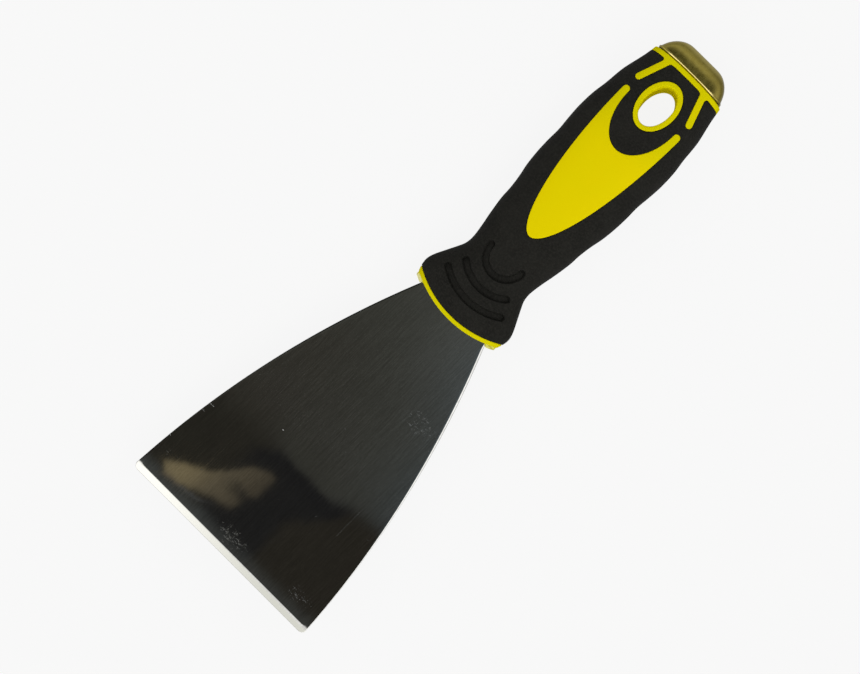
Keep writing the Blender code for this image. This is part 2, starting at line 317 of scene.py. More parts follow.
def half_ellipse(centre_y, half_x, half_y, steps):
    """The half of an ellipse at +X, with its ends on x = 0."""
    angle = np.linspace(-math.pi / 2, math.pi / 2, steps + 1)
    x = half_x * np.cos(angle)
    x[[0, -1]] = 0
    return columns(x, centre_y + half_y * np.sin(angle))


def panel_chain():
    """The panel's outline from its tip round a horn and the bite, back to x = 0."""
    horn = (PANEL_HALF_WIDTH - BITE_HALF_WIDTH) / 2
    horn_y = PANEL_END_Y - horn
    angle = np.linspace(0, math.pi / 2, 90)
    power = 2 / PANEL_POWER
    leaf_x = PANEL_HALF_WIDTH * np.sin(angle) ** power
    leaf_y = horn_y - (horn_y - PANEL_TIP_Y) * np.clip(np.cos(angle), 0, 1) ** power
    leaf = columns(leaf_x, leaf_y)
    round_end = arc((PANEL_HALF_WIDTH - horn, horn_y), horn, 0, math.pi, 16)
    angle = np.linspace(0, math.pi / 2, 48)
    bite_x = BITE_HALF_WIDTH * np.cos(angle)
    bite_y = horn_y - (horn_y - BITE_TIP_Y) * np.sin(angle)
    bite_x[-1] = 0
    return joined(leaf, round_end, columns(bite_x, bite_y))


def rear_line_y(x, line_y):
    """y of a rear arc at x, when it crosses x = 0 at line_y."""
    return line_y - (REAR_RADIUS - np.sqrt(REAR_RADIUS**2 - x**2))


def rear_chain(line_y):
    """The rear seam in plan, from x = 0 round a bar with filleted roots to its corner."""
    start = np.array(BAR_START)
    along = np.array(BAR_END) - start
    along /= np.linalg.norm(along)
    side = np.array([along[1], -along[0]])
    lean = math.atan2(along[1], along[0])
    root_y = rear_line_y(BAR_ROOT_X, line_y)
    fillets = []
    for turn in (-1, 1):
        centre_line = start + side * turn * (BAR_HALF_WIDTH + BAR_FILLET)
        reach = (root_y - BAR_FILLET - centre_line[1]) / along[1]
        at_bar = math.atan2(-turn * side[1], -turn * side[0]) % (2 * math.pi)
        fillets.append(arc(centre_line + along * reach, BAR_FILLET, math.pi / 2, at_bar, 8))
    inner, outer = fillets[0], fillets[1][::-1]
    round_end = arc(BAR_START, BAR_HALF_WIDTH, lean + math.pi / 2, lean + 3 * math.pi / 2, 16)
    first_x = np.linspace(0, inner[0, 0], 14)[:-1]
    first = columns(first_x, rear_line_y(first_x, line_y))
    last_x = np.linspace(outer[-1, 0], SEAM_CORNER_X, 5)[1:]
    last = columns(last_x, rear_line_y(last_x, line_y))
    out = straight(inner[-1], round_end[0], CHAIN_PITCH)
    back = straight(round_end[-1], outer[0], CHAIN_PITCH)
    return joined(first, inner, out, round_end, back, outer, last)


def groove_bend(groove):
    """Radius of a groove's middle line, and the angle from its middle to its end."""
    middle_y, half_span, end_y = groove
    rise = end_y - middle_y
    radius = (half_span**2 + rise**2) / (2 * rise)
    return radius, math.atan2(half_span, radius - rise)


def groove_chain(groove, grow):
    """Half of a groove's outline moved out, from x = 0 round its end and back to x = 0."""
    middle_y, half_span, end_y = groove
    radius, spread = groove_bend(groove)
    half = GROOVE_HALF_WIDTH + grow
    low = -math.pi / 2
    centre = (0, middle_y + radius)
    steps = int(half_span / CHAIN_PITCH) + 8
    outer = arc(centre, radius + half, low, low + spread, steps)
    tip = arc((half_span, end_y), half, low + spread, low + spread + math.pi, 12)
    inner = arc(centre, radius - half, low + spread, low, steps)
    chain = joined(outer, tip, inner)
    chain[[0, -1], 0] = 0
    return chain


def groove_reach(plan, groove):
    """Signed distance of plan points from a groove's outline, negative inside."""
    middle_y, half_span, end_y = groove
    radius, spread = groove_bend(groove)
    x = np.abs(plan[:, 0])
    y = plan[:, 1] - (middle_y + radius)
    angle = np.arctan2(x, -y)
    on_arc = np.abs(np.hypot(x, y) - radius)
    to_end = np.hypot(x - half_span, plan[:, 1] - end_y)
    return np.where(angle <= spread, on_arc, to_end) - GROOVE_HALF_WIDTH


# Rows of unrolled places


def fitted_row(turn, line):
    """Where the skin meets a line across x = 0 that gives its y at each x in plan."""
    y = np.full(turn.shape, line(0))
    for _ in range(FIT_ROUNDS):
        y = line(skin(turn, y)[:, 0])
    return columns(turn * UNROLLED, y)


def front_row(radius):
    """The collar's round front, at a radius, from the side to x = 0."""
    turn = np.linspace(0, QUARTER_TURN, 72)
    return fitted_row(turn, lambda x: COLLAR_CENTRE_Y - np.sqrt(radius**2 - x**2))


def rear_row(line_y, steps=60, from_turn=QUARTER_TURN):
    """A rear line that bulges, from a turn to the side."""
    turn = np.linspace(from_turn, 0, steps)
    return fitted_row(turn, lambda x: rear_line_y(x, line_y))


def seam_row(line_y, distance):
    """The rear seam moved towards the band by a distance, in the unrolled skin."""
    plan = moved(rear_chain(line_y), -distance)
    top = unrolled(plan)
    top[0, 0] = MIDDLE
    side = rear_row(line_y + distance, 30, top[-1, 0] / UNROLLED)
    return joined(top, side[1:])


def closed_row(plan):
    """Unrolled places of a half loop whose ends are at x = 0."""
    row = unrolled(plan)
    row[[0, -1], 0] = MIDDLE
    return row


# Triangulation


def inside(polygon, points):
    """Whether each point is inside a polygon."""
    result = np.zeros(len(points), bool)
    before = np.roll(polygon, 1, axis=0)
    for (x0, y0), (x1, y1) in zip(before, polygon):
        crosses = (y0 > points[:, 1]) != (y1 > points[:, 1])
        with np.errstate(divide="ignore", invalid="ignore"):
            at = x0 + (points[:, 1] - y0) * (x1 - x0) / (y1 - y0)
        result ^= crosses & (points[:, 0] < at)
    return result


def blade_side(row, places):
    """Whether each unrolled place is on the blade's side of a row."""
    return inside(np.concatenate([row, [(MIDDLE, 0), (0, 0)]]), places)


def cap_side(row, places):
    """Whether each unrolled place is on the cap's side of a row."""
    return inside(np.concatenate([row, [(0, FAR_Y), (MIDDLE, FAR_Y)]]), places)


def distance_to(chain, points):
    """Distance of each point from a chain."""
    nearest = np.full(len(points), 1e9)
    for start, end in zip(chain[:-1], chain[1:]):
        ahead = end - start
        share = np.clip((points - start) @ ahead / (ahead @ ahead), 0, 1)
        gap = points - start - share[:, None] * ahead
        nearest = np.minimum(nearest, np.hypot(gap[:, 0], gap[:, 1]))
    return nearest


def seam_reach(rows, plan):
    """Distance of each plan point from the nearest of some rows."""
    return np.min([distance_to(in_plan(row), plan) for row in rows], axis=0)


def triangulated(chains, grid, clear=GRID_CLEARANCE):
    """Triangles over chains, which stay as edges, and the grid points that are clear of them."""
    points = []
    edges = []
    for chain in chains:
        first = len(points)
        points += [Vector(point) for point in chain]
        edges += [(i, i + 1) for i in range(first, len(points) - 1)]
    tree = kdtree.KDTree(len(points))
    for i, point in enumerate(points):
        tree.insert((point[0], point[1], 0), i)
    tree.balance()
    points += [Vector(p) for p in grid if tree.find((p[0], p[1], 0))[2] > clear]
    made = delaunay_2d_cdt(points, edges, [], 0, 1e-7)
    return np.array([tuple(v) for v in made[0]]), np.array(made[2])


def skin_grid(low_y, high_y):
    """Unrolled places all over a quarter of the skin between two y."""
    turns = np.linspace(0, MIDDLE, int(MIDDLE / GRID_PITCH) + 1)
    ys = np.linspace(low_y, high_y, int((high_y - low_y) / GRID_PITCH) + 1)
    return np.array([(turn, y) for y in ys for turn in turns])


def lip(distance, radius):
    """Drop of a rounded edge at a distance from it."""
    short = radius - np.clip(distance - 1e-4, 0, radius)
    return radius - np.sqrt(radius**2 - short**2)


def strip(rows):
    """Quads between rows of equal count."""
    rows = np.asarray(rows)
    count = rows.shape[1]
    faces = []
    for r in range(rows.shape[0] - 1):
        for i in range(count - 1):
            a = r * count + i
            faces.append((a, a + 1, a + count + 1, a + count))
    return rows.reshape(-1, 3), faces


def axis_row(y, count):
    """A row drawn together on the middle axis."""
    return np.tile([0.0, y, 0.0], (count, 1))


def wall(row, top, bottom):
    """The wall along a row, from one depth below the skin to another."""
    return strip([lifted(row, -top), lifted(row, -bottom)])


def lowered(row, steps):
    """Copies of a row that step down to the middle plane."""
    return [row * (1, 1, share) for share in np.linspace(1, 0, steps)]


# Meshes. A soup is a list of (points, faces), which becomes one mesh when it is welded


def only_used(soup):
    """The soup without points that no face uses."""
    result = []
    for points, faces in soup:
        faces = np.asarray(faces)
        used = np.unique(faces)
        index = np.full(len(points), -1)
        index[used] = np.arange(len(used))
        result.append((np.asarray(points)[used], index[faces]))
    return result


def mirrored_soup(soup):
    """The soup with its copies across x = 0 and z = 0."""
    flips = ((1, 1, 1), (-1, 1, 1), (1, 1, -1), (-1, 1, -1))
    quarter = only_used(soup)
    return [(points * flip, faces) for flip in flips for points, faces in quarter]


def mesh_object(name, soup):
    """A closed mesh object from a soup in millimetres."""
    mesh = bmesh.new()
    for points, faces in soup:
        verts = [mesh.verts.new(Vector(point) * MM) for point in points]
        for face in faces:
            mesh.faces.new([verts[i] for i in face])
    bmesh.ops.remove_doubles(mesh, verts=mesh.verts, dist=WELD)
    bmesh.ops.dissolve_degenerate(mesh, edges=mesh.edges, dist=WELD / 10)
    bmesh.ops.recalc_face_normals(mesh, faces=mesh.faces)
    data = bpy.data.meshes.new(name)
    mesh.to_mesh(data)
    mesh.free()
    return placed(name, data)


def placed(name, data):
    """A new object of the scene."""
    made = bpy.data.objects.new(name, data)
    bpy.context.scene.collection.objects.link(made)
    return made


def cut(target, cutter):
    """Takes a cutter away from a mesh object and removes the cutter."""
    modifier = target.modifiers.new("cut", "BOOLEAN")
    modifier.operation = "DIFFERENCE"
    modifier.solver = "EXACT"
    modifier.object = cutter
    bpy.context.view_layer.update()
    graph = bpy.context.evaluated_depsgraph_get()
    mesh = bpy.data.meshes.new_from_object(target.evaluated_get(graph))
    target.modifiers.clear()
    target.data = mesh
    bpy.data.objects.remove(cutter, do_unlink=True)


def finish(made, node, material, angle=40):
    made.data.shade_smooth()
    made.data.set_sharp_from_angle(angle=math.radians(angle))
    made.data.materials.clear()
    made.data.materials.append(material)
    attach(made, "root")
    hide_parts(node)


# Soft grip


def seam_rows(side, distances):
    """Rows beside the front, rear, panel and ring seams, in the grip (1) or in the core (-1)."""
    away = [side * (SEAM + distance) for distance in distances]
    ring_plan = half_ellipse(RING_Y, *RING_OUTER, RING_STEPS)
    front = [front_row(COLLAR_RADIUS - COLLAR_WIDTH - d) for d in away]
    rear = [seam_row(REAR_Y - BAND_WIDTH, -d) for d in away]
    panel = [closed_row(moved(panel_chain(), d)) for d in away]
    ring = [closed_row(moved(ring_plan, d)) for d in away]
    return front, rear, panel, ring


def make_grip():
    front, rear, panel, ring = seam_rows(1, GRIP_ROWS)
    grooves = [closed_row(groove_chain(g, grow)) for g in GROOVES for grow in GROOVE_ROWS]
    chains = front + rear + panel + ring + grooves
    domain, faces = triangulated(chains, skin_grid(COLLAR_Y, REAR_Y))

    centres = domain[faces].mean(axis=1)
    out = blade_side(front[0], centres) | cap_side(rear[0], centres)
    out |= inside(panel[0], centres) | inside(ring[0], centres)
    faces = faces[~out]

    plan = in_plan(domain)
    seams = (front[0], rear[0], panel[0], ring[0])
    height = -lip(seam_reach(seams, plan), GRIP_LIP)
    for groove in GROOVES:
        height -= GROOVE_DEPTH * (1 - smooth(*GROOVE_SLOPE, groove_reach(plan, groove)))
    soup = [(lifted(domain, height), faces), (lifted(domain, -GRIP_DEPTH), faces)]
    soup += [wall(row, GRIP_LIP, GRIP_DEPTH) for row in seams]
    return mesh_object("soft_grip_skin", mirrored_soup(soup))


# Hard core

# The spigot in the cap: y, and how much smaller it is than the cap on every side
SPIGOT_SQUARENESS = 4
SPIGOT_END_Y = CORE_BOX[1][1]
SPIGOT_ROWS = (
    (REAR_Y - 0.6, 1.3),
    (REAR_Y + 1.5, 1.3),
    (SPIGOT_END_Y - 3.0, 3.2),
    (SPIGOT_END_Y, 6.0),
)


def core_front(rim):
    """The collar's front from its rim down to the middle plane, with flash beside the blade."""
    levels = lowered(rim, 15)
    for row in levels[1:]:
        x, _, z = row.T
        share = smooth(*FLASH_START, x) * (1 - smooth(*FLASH_END, x))
        row[:, 1] -= FLASH_REACH * share * (1 - smooth(*FLASH_HEIGHT, z))
    return strip(levels)


def spigot(end):
    """From the band's rim in to the spigot, along it, and over its blunt end."""
    turn = end[:, 0] / UNROLLED
    rows = [lifted(end, -CORE_LIP)]
    for y, inset in SPIGOT_ROWS:
        x, z = section(turn, CAP_BOX[1][0] - inset, CAP_BOX[1][2] - inset, SPIGOT_SQUARENESS)
        rows.append(snapped(columns(x, np.full(turn.shape, y), z), turn))
    rows.append(axis_row(y, len(turn)))
    return strip(rows)


def make_core():
    front, rear, panel, ring = seam_rows(-1, CORE_ROWS)
    rim = [front_row(COLLAR_RADIUS - d) for d in CORE_ROWS]
    end = [rear_row(REAR_Y - d) for d in CORE_ROWS]
    bore_plan = half_ellipse(RING_Y, *RING_BORE, RING_STEPS)
    bore = [closed_row(moved(bore_plan, d)) for d in BORE_ROWS]
    chains = rim + front + rear + end + panel + ring + bore
    domain, faces = triangulated(chains, skin_grid(COLLAR_Y - 1, REAR_Y + 1))

    centres = domain[faces].mean(axis=1)
    outside = blade_side(rim[0], centres) | cap_side(end[0], centres)
    in_bore = inside(bore[0], centres)
    in_ring = inside(ring[0], centres) & ~in_bore
    top = blade_side(front[0], centres) | cap_side(rear[0], centres) | inside(panel[0], centres)
    top &= ~outside
    floor = ~(outside | in_bore | in_ring | top)

    plan = in_plan(domain)
    drop = lip(seam_reach((rim[0], front[0], rear[0], end[0], panel[0], ring[0]), plan), CORE_LIP)
    bore_drop = lip(distance_to(in_plan(bore[0]), plan), BORE_LIP)
    soup = [
        (lifted(domain, -drop), faces[top]),
        (on_ring_face(domain, drop + bore_drop), faces[in_ring]),
        (lifted(domain, -SKIN), faces[floor]),
    ]
    soup += [wall(row, CORE_LIP, SKIN) for row in (front[0], rear[0], panel[0])]
    soup.append(strip([on_ring_face(ring[0], CORE_LIP), lifted(ring[0], -SKIN)]))
    soup.append(strip(lowered(on_ring_face(bore[0], BORE_LIP), 9)))
    soup.append(core_front(lifted(rim[0], -CORE_LIP)))
    soup.append(spigot(end[0]))
    return mesh_object("handle_core_moulding", mirrored_soup(soup))


# Blade

SHOULDER_Y = COLLAR_Y + 2.7
SHOULDER_HALF_WIDTH = 14.1
SIDE_RADIUS = 325.0
EDGE_CORNER_RADIUS = 1.8
TANG_START_Y = COLLAR_Y + 10.7
TANG_HALF_WIDTH = 7.5
KEY_HOLES_Y = (COLLAR_Y + 19.7, COLLAR_Y + 39.7, COLLAR_Y + 59.7)
KEY_HOLE_RADIUS = 2.5
TANG_CORNER_RADIUS = 3.0
POCKET_PLAY = 0.03
POCKET_START_Y = COLLAR_Y - 12

# Ground strip: its width, how much wider it gets to one side for each millimetre across, the half
# thickness at the working edge and at its end, and the ease of the corner there
GROUND_WIDTH = 2.2
GROUND_SKEW = 0.0115
EDGE_HALF = 0.2
GROUND_HALF = 0.45
GROUND_EASE = 0.012

# Rolled-over edges, as width and depth: by the working edge, along the sides, and what the sides
# gain towards the shoulders
EDGE_ROLL = (0.12, 0.05)
SIDE_ROLL = (0.3, 0.08)
SIDE_ROLL_GROWTH = (0.7, 0.22)
EDGE_ROLL_END_Y = 1.2
BLADE_CLEARANCE = 0.22
BLADE_ROWS = (0.0, 0.03, 0.07, 0.12, 0.2, 0.3, 0.42, 0.56, 0.72, 0.9, 1.1, 1.4)


def side_arc(start, end, radius, steps):
    """Arc of a given radius between two points, bulging towards +X."""
    start = np.asarray(start, float)
    end = np.asarray(end, float)
    middle = (start + end) / 2
    chord = end - start
    half = np.linalg.norm(chord) / 2
    inward = np.array([-chord[1], chord[0]]) / (2 * half)
    centre = middle + inward * math.sqrt(radius**2 - half**2)
    first = math.atan2(*(start - centre)[::-1])
    last = math.atan2(*(end - centre)[::-1])
    return arc(centre, radius, first, last, steps)


def blade_chain():
    """The blade's outline at +X, from the middle of the working edge to the tang's end."""
    half = BLADE_BOX[1][0]
    corner = EDGE_CORNER_RADIUS
    edge = straight((0, 0), (half - corner, 0), 0.8)
    round_corner = arc((half - corner, corner), corner, -math.pi / 2, 0, 14)
    sides = side_arc(round_corner[-1], (SHOULDER_HALF_WIDTH, SHOULDER_Y), SIDE_RADIUS, 120)
    shoulder = straight(sides[-1], (TANG_HALF_WIDTH, TANG_START_Y), 0.8)
    end_y = BLADE_BOX[1][1]
    corner = TANG_CORNER_RADIUS
    tang = straight(shoulder[-1], (TANG_HALF_WIDTH, end_y - corner), 2.5)
    tang_corner = arc((TANG_HALF_WIDTH - corner, end_y - corner), corner, 0, math.pi / 2, 8)
    last = straight(tang_corner[-1], (0, end_y), 1.2)
    return joined(edge, round_corner, sides, shoulder, tang, tang_corner, last)


def blade_half_thickness(plan):
    """Half thickness: the ground strip, then the taper, with the corner between eased."""
    full = BLADE_BOX[1][2]
    y = plan[:, 1]
    ground = EDGE_HALF + (GROUND_HALF - EDGE_HALF) * y / GROUND_WIDTH
    rise = (full - GROUND_HALF) / (SHOULDER_Y - GROUND_WIDTH)
    taper = np.minimum(GROUND_HALF + rise * (y - GROUND_WIDTH), full)
    blend = np.clip(0.5 + 0.5 * (taper - ground) / GROUND_EASE, 0, 1)
    return ground * blend + taper * (1 - blend) - GROUND_EASE * blend * (1 - blend)


def blade_top(plan, outline):
    """Height of the blade's upper face, its sides rolled over more towards the shoulders."""
    y = plan[:, 1]
    growth = smooth(10, COLLAR_Y - 8.9, y) * (1 - smooth(COLLAR_Y + 0.1, COLLAR_Y + 4.1, y))
    at_edge = y < EDGE_ROLL_END_Y
    sizes = zip(EDGE_ROLL, SIDE_ROLL, SIDE_ROLL_GROWTH)
    width, depth = [np.where(at_edge, edge, side + more * growth) for edge, side, more in sizes]
    short = 1 - np.clip(distance_to(outline, plan) / width, 0, 1)
    return blade_half_thickness(plan) - depth * (1 - np.sqrt(1 - short**2))


def blade_grid(outline):
    """Points well inside the blade's outline, closer together near the working edge."""
    half = BLADE_BOX[1][0]
    end_y = BLADE_BOX[1][1]
    margin = 1.5
    ys = np.concatenate([np.linspace(0, 4, 17), np.linspace(5.2, end_y, 120)])
    ys = ys[(ys > margin) & (ys < end_y - margin)]
    grid = np.array([(x, y) for y in ys for x in np.linspace(0, half, 32)])
    clear = inside(outline - (1e-3, 0), grid) & (distance_to(outline, grid) > margin)
    return grid[clear]


def make_blade():
    outline = blade_chain()
    rows = [moved(outline, -distance) for distance in BLADE_ROWS]
    for row in rows:
        row[[0, -1], 0] = 0
    holes = [half_ellipse(y, KEY_HOLE_RADIUS, KEY_HOLE_RADIUS, 16) for y in KEY_HOLES_Y]
    plan, faces = triangulated(rows + holes, blade_grid(outline), BLADE_CLEARANCE)
    centres = plan[faces].mean(axis=1)
    keep = inside(outline, centres)
    for hole in holes:
        keep &= ~inside(hole, centres)
    faces = faces[keep]
    top = columns(plan, blade_top(plan, outline))
    soup = [(top, faces)]
    for chain in [outline] + holes:
        soup.append(strip(lowered(columns(chain, blade_top(chain, outline)), 2)))
    return mesh_object("blade_steel", mirrored_soup(soup))


def make_pocket():
    """The room that the blade's shoulders and tang take in the core."""
    outline = moved(blade_chain(), POCKET_PLAY)
    outline = outline[(outline[:, 1] > POCKET_START_Y) & (outline[:, 1] < BLADE_BOX[1][1])]
    outline = np.concatenate([[(0, outline[0, 1])], outline, [(0, outline[-1, 1])]])
    full = joined(outline, outline[::-1] * (-1, 1))[:-1]
    half = BLADE_BOX[1][2] + POCKET_PLAY
    loops = [columns(full, np.full(len(full), z)) for z in (-half, half)]
    soup = [(loop, [range(len(loop))]) for loop in loops]
    soup.append(strip([np.concatenate([loop, loop[:1]]) for loop in loops]))
    return mesh_object("pocket", soup)


# End cap

CAP_SQUARENESS = 7.0
CAP_STEPS = 192
CAP_WALL = 0.9
CAP_END_WALL = 1.0

# How far it starts past the rear line and stops short of its CAD box, and how far its lip is proud
# of its faces; what its half width and half thickness lose along its length, and what they lose
# where it turns over to the end, from a share of the length on
CAP_START = 0.3
CAP_SHORT = 0.15
CAP_LIP_PROUD = 0.04
CAP_TAPER = (3.2, 1.5)
CAP_TURN_OVER = (4.6, 3.0)
CAP_TURN_START = 0.28

# The rolled lip's section: how far along and how far in, from inside the rim to outside
CAP_LIP = (
    (0.3, 0.6), (0.12, 0.56), (0.02, 0.42), (0.0, 0.3), (0.04, 0.2),
    (0.13, 0.12), (0.25, 0.06), (0.4, 0.02), (0.55, 0.0),
)


def cap_row(y, half_x, half_z):
    """A closed section of the cap that bulges like the rear band's edge."""
    x, z = section(np.linspace(0, 2 * math.pi, CAP_STEPS + 1), half_x, half_z, CAP_SQUARENESS)
    return columns(x, y - x**2 / (2 * REAR_RADIUS), z)


def cap_profile():
    """From the rolled lip to the flat end: y, half width and half thickness."""
    lip_y = REAR_Y + CAP_START
    length = CAP_BOX[1][1] - CAP_SHORT - lip_y
    full_x = CAP_BOX[1][0]
    full_z = CAP_BOX[1][2]
    rows = [(lip_y + along, full_x - inset, full_z - inset) for along, inset in CAP_LIP]
    places = [(share, 0) for share in np.linspace(0.08, CAP_TURN_START, 10)[1:]]
    for turn in np.linspace(0, QUARTER_TURN, 29)[1:]:
        places.append((CAP_TURN_START + (1 - CAP_TURN_START) * math.sin(turn), turn))
    for share, turn in places:
        over = 1 - math.cos(turn)
        half_x = full_x - CAP_TAPER[0] * share - CAP_TURN_OVER[0] * over
        half_z = full_z - CAP_LIP_PROUD - CAP_TAPER[1] * share**2 - CAP_TURN_OVER[1] * over**1.1
        rows.append((lip_y + length * share, half_x, half_z))
    return rows


def make_cap():
    outer = cap_profile()
    start_y = outer[0][0]
    end_y = outer[-1][0]
    rows = []
    for y, half_x, half_z in outer:
        share = (y - start_y) / (end_y - start_y)
        row = cap_row(y, half_x, half_z)
        row[:, 1] += (y - row[:, 1]) * share
        rows.append(row)
    rows.append(axis_row(end_y, len(row)))
    floor_y = end_y - CAP_END_WALL
    inner = []
    for y, half_x, half_z in outer[:1] + outer[len(CAP_LIP) :]:
        inner.append(cap_row(min(y, floor_y), half_x - CAP_WALL, half_z - CAP_WALL))
    inner.append(axis_row(floor_y, len(row)))
    return mesh_object("end_cap_shell", [strip(inner[::-1] + rows)])


# Shader nodes


class Shader:
    """The nodes of a material or the world, with short ways to add more."""

    def __init__(self, owner):
        owner.use_nodes = True
        self.owner = owner
        self.tree = owner.node_tree
        self.tree.nodes.clear()

    def node(self, kind, *sources, **settings):
        """A new node, its first sockets fed in order and its settings set."""
        made = self.tree.nodes.new(f"ShaderNode{kind}")
        for key, value in settings.items():
            setattr(made, key, value)
        for i, source in enumerate(sources):
            self.feed(made.inputs[i], source)
        return made

    def node_by_name(self, kind, sources):
        """A new node with its sockets fed by their names."""
        made = self.node(kind)
        for name, source in sources.items():
            self.feed(made.inputs[name], source)
        return made

    def feed(self, socket, source):
        """Gives a socket a link, a colour or a plain value."""
        if isinstance(source, bpy.types.NodeSocket):
            self.tree.links.new(source, socket)
        elif socket.type == "RGBA":
            socket.default_value = (*source, 1)
        else:
            socket.default_value = source

    def math(self, operation, *sources):
        return self.node("Math", *sources, operation=operation).outputs[0]

    def add(self, value, *others):
        for other in others:
            value = self.math("ADD", value, other)
        return value

    def subtract(self, a, b):
        return self.math("SUBTRACT", a, b)

    def times(self, value, *factors):
        for factor in factors:
            value = self.math("MULTIPLY", value, factor)
        return value

    def largest(self, a, b):
        return self.math("MAXIMUM", a, b)

    def ease(self, value, low, high, start=0.0, end=1.0):
        """Start below low, end above high, and a smooth step between."""
        made = self.node("MapRange", value, low, high, start, end)
        made.interpolation_type = "SMOOTHSTEP"
        return made.outputs[0]

    def fall(self, value, low, high):
        """1 below low, 0 above high, and a smooth step between."""
        return self.ease(value, low, high, 1.0, 0.0)

    def mix(self, share, a, b):
        """Colour a where the share is 0 and b where it is 1."""
        made = self.node("Mix", share, data_type="RGBA")
        self.feed(made.inputs[6], a)
        self.feed(made.inputs[7], b)
        return made.outputs[2]

    def millimetres(self):
        """x, y, z and the whole vector in millimetres of the row frame."""
        vector = self.stretched(self.node("TexCoord").outputs["Object"], 1 / MM, 1 / MM, 1 / MM)
        return (*self.node("SeparateXYZ", vector).outputs, vector)

    def stretched(self, vector, x, y, z):
        return self.node("VectorMath", vector, (x, y, z), operation="MULTIPLY").outputs[0]

    def noise(self, vector, scale, detail=3.0, roughness=0.55):
        sources = {"Vector": vector, "Scale": scale, "Detail": detail, "Roughness": roughness}
        return self.node_by_name("TexNoise", sources).outputs[0]

    def cells(self, vector, scale):
        """Distance to the nearest of scattered points."""
        return self.node_by_name("TexVoronoi", {"Vector": vector, "Scale": scale}).outputs[0]

    def band(self, value, middle, half_width, softness):
        """1 within a half width of the middle, falling to 0 over the softness."""
        gap = self.math("ABSOLUTE", self.subtract(value, middle))
        return self.fall(gap, half_width, half_width + softness)

    def bump(self, height, distance):
        """A normal bumped by up to a distance in millimetres."""
        sources = {"Strength": 1, "Distance": distance * MM, "Height": height}
        return self.node_by_name("Bump", sources).outputs[0]

    def surface(self, color, roughness, metallic, specular, normal):
        """Ends a material's nodes and gives the material."""
        sources = {
            "Base Color": color,
            "Roughness": roughness,
            "Metallic": metallic,
            "Specular IOR Level": specular,
            "Normal": normal,
        }
        self.node("OutputMaterial", self.node_by_name("BsdfPrincipled", sources).outputs[0])
        return self.owner


# Finishes

# Scuffed patches of the blade: place, reach and strength
SCUFFS = (
    ((0.5, 6.2), 10, 1),
    ((29, 8), 8, 0.9),
    ((-33, 10), 9, 0.55),
    ((17, 73.5), 12, 1),
)
# Nicks across the blade: place, half length and strength
NICKS = (
    ((-35.2, 28.3), 0.9, 0.5),
    ((-34, 31.4), 0.8, 0.6),
    ((-37, 15.2), 0.4, 0.8),
    ((-12.2, 41.8), 0.05, 1),
)
# Long scratches: x, y of both ends and strength
SCRATCHES = (
    (-21.5, 13, 37, 0.12),
    (23.6, 27, 43, 0.3),
)


def steel_finish():
    """Brushed steel with marks, a finely ground strip along the working edge with painted shade at
    its outer rim, and painted shade on the edges that face -X.
    """
    s = Shader(bpy.data.materials.new("steel"))
    x, y, _, place = s.millimetres()
    hairline = s.noise(s.stretched(place, 4.4, 0.12, 1), 1, 3, 0.7)
    fine = s.noise(s.stretched(place, 5, 1.3, 1), 1, 2, 0.6)
    cloud = s.noise(place, 0.07, 3, 0.5)
    brushed = s.add(s.times(hairline, 0.65), s.times(fine, 0.35))

    marks = scuff_marks(s, place, x, y)
    for scratch in SCRATCHES:
        marks = s.largest(marks, long_scratch(s, place, x, y, *scratch))
    roughness = s.ease(brushed, 0.3, 0.7, 0.012, 0.026)
    roughness = s.add(roughness, s.ease(y, 34, 50, 0, 0.05), s.times(marks, 0.32))

    share = s.ease(brushed, 0.36, 0.64)
    tone = s.mix(share, (0.43, 0.425, 0.41), (0.63, 0.625, 0.61))
    tone = s.mix(s.ease(cloud, 0.35, 0.65, 0, 0.3), tone, (0.47, 0.465, 0.455))
    line = s.add(y, s.times(x, GROUND_SKEW), s.times(s.subtract(brushed, 0.5), 0.3))
    ground = s.fall(line, GROUND_WIDTH - 0.35, GROUND_WIDTH + 0.05)
    # The ground strip's tone, paler towards -X.
    ground_and_edge_shade = s.mix(s.ease(x, -38, 28), (0.825, 0.815, 0.77), (0.52, 0.52, 0.475))
    # Painted shade: a dark line along the outermost rim of the working edge.
    ground_and_edge_shade = s.mix(s.ease(y, 0.02, 0.16, 0.7, 0), ground_and_edge_shade, (0.2, 0.2, 0.19))
    tone = s.mix(ground, tone, ground_and_edge_shade)
    tone = s.mix(s.times(marks, 0.6), tone, (0.85, 0.86, 0.86))
    # Painted shade: edges whose normals face -X are darkened, as if turned away from the light.
    across = s.node("SeparateXYZ", s.node("NewGeometry").outputs["Normal"]).outputs[0]
    tone = s.mix(s.ease(across, -0.3, -0.1, 0.9, 0), tone, (0.06, 0.06, 0.055))
    roughness = s.largest(roughness, s.times(ground, 0.12))
    normal = s.bump(brushed, 0.00005)
    return s.surface(tone, roughness, 1, 0.5, normal)


def long_scratch(s, place, x, y, at_x, start_y, end_y, strength):
    """A faint broken scratch along the blade that wanders a little."""
    wander = s.times(s.subtract(s.noise(s.stretched(place, 0, 0.09, 0), 1, 2), 0.5), 1.6)
    line = s.band(s.add(x, wander), at_x, 0.03, 0.09)
    ends = s.times(s.ease(y, start_y, start_y + 4), s.fall(y, end_y - 4, end_y))
    broken = s.ease(s.noise(s.stretched(place, 0.3, 0.4, 1), 1, 2), 0.36, 0.52, 0.25, 1)
    return s.times(line, ends, broken, strength)


def patch(s, x, y, at, reach):
    """1 at a place on the blade, falling to 0 over the reach, which is shorter along y."""
    away_x = s.math("POWER", s.subtract(x, at[0]), 2)
    away_y = s.math("POWER", s.subtract(y, at[1]), 2)
    away = s.math("SQRT", s.add(away_x, s.times(away_y, 3)))
    return s.fall(away, 0.3 * reach, reach)


